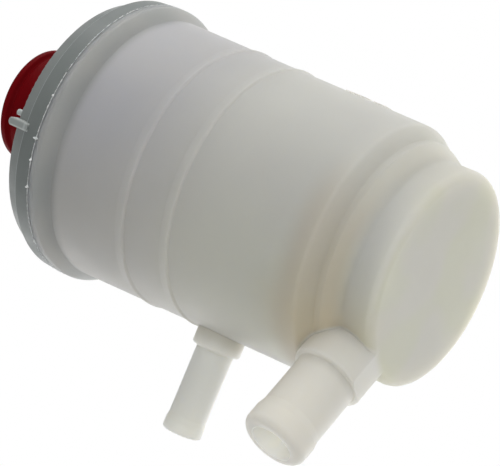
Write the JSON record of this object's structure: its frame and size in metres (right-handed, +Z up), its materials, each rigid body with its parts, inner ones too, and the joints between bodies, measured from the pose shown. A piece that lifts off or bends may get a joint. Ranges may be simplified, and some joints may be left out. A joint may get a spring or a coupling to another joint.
{
  "type": "power steering reservoir",
  "caption": "Milky moulded fluid tank with a flat base, stepped shoulder, two hose nipples, a grey welded lid and a red cap that lifts off its filler neck.",
  "frame": {"origin": "middle of the tank's flat base", "axes": "+Z up through the filler neck and cap, the small return nipple along -X, the large suction nipple 35.9 degrees from -X towards -Y, its axis 3.1 mm beside the tank's"},
  "size_m": [0.1061, 0.0809, 0.1389],
  "materials": {
    "tank_plastic": "milky translucent natural polymer, satin to gloss",
    "lid_plastic": "grey satin moulded plastic",
    "cap_plastic": "dark red satin moulded plastic",
    "inner_plastic": "natural moulded plastic",
    "insert_plastic": "black moulded plastic",
    "mesh": "fine woven nylon mesh",
    "rubber": "black rubber",
    "spring_wire": "bright spring steel"
  },
  "bodies": {
    "tank": {"reservoir_body": "tank_plastic", "lid": "lid_plastic", "baffle_plate": "inner_plastic", "strainer_frame": "inner_plastic", "strainer_mesh": "mesh", "strainer_seal": "rubber", "bypass_spring": "spring_wire"},
    "cap": {"cap": "cap_plastic", "cap_gasket": "rubber", "cap_insert": "insert_plastic", "vent_valve": "rubber"},
    "bypass": {"bypass_valve": "inner_plastic", "bypass_retainer": "spring_wire"}
  },
  "joints": [
    {"name": "cap_lift", "type": "slide", "parent": "tank", "child": "cap", "axis": [0, 0, 1], "range_m": [0, 0.03]},
    {"name": "bypass_open", "type": "slide", "parent": "tank", "child": "bypass", "axis": [0, 0, -1], "range_m": [0, 0.003], "stiffness_N_per_m": 80, "springref_m": -0.006, "deforming": ["bypass_spring"]}
  ]
}
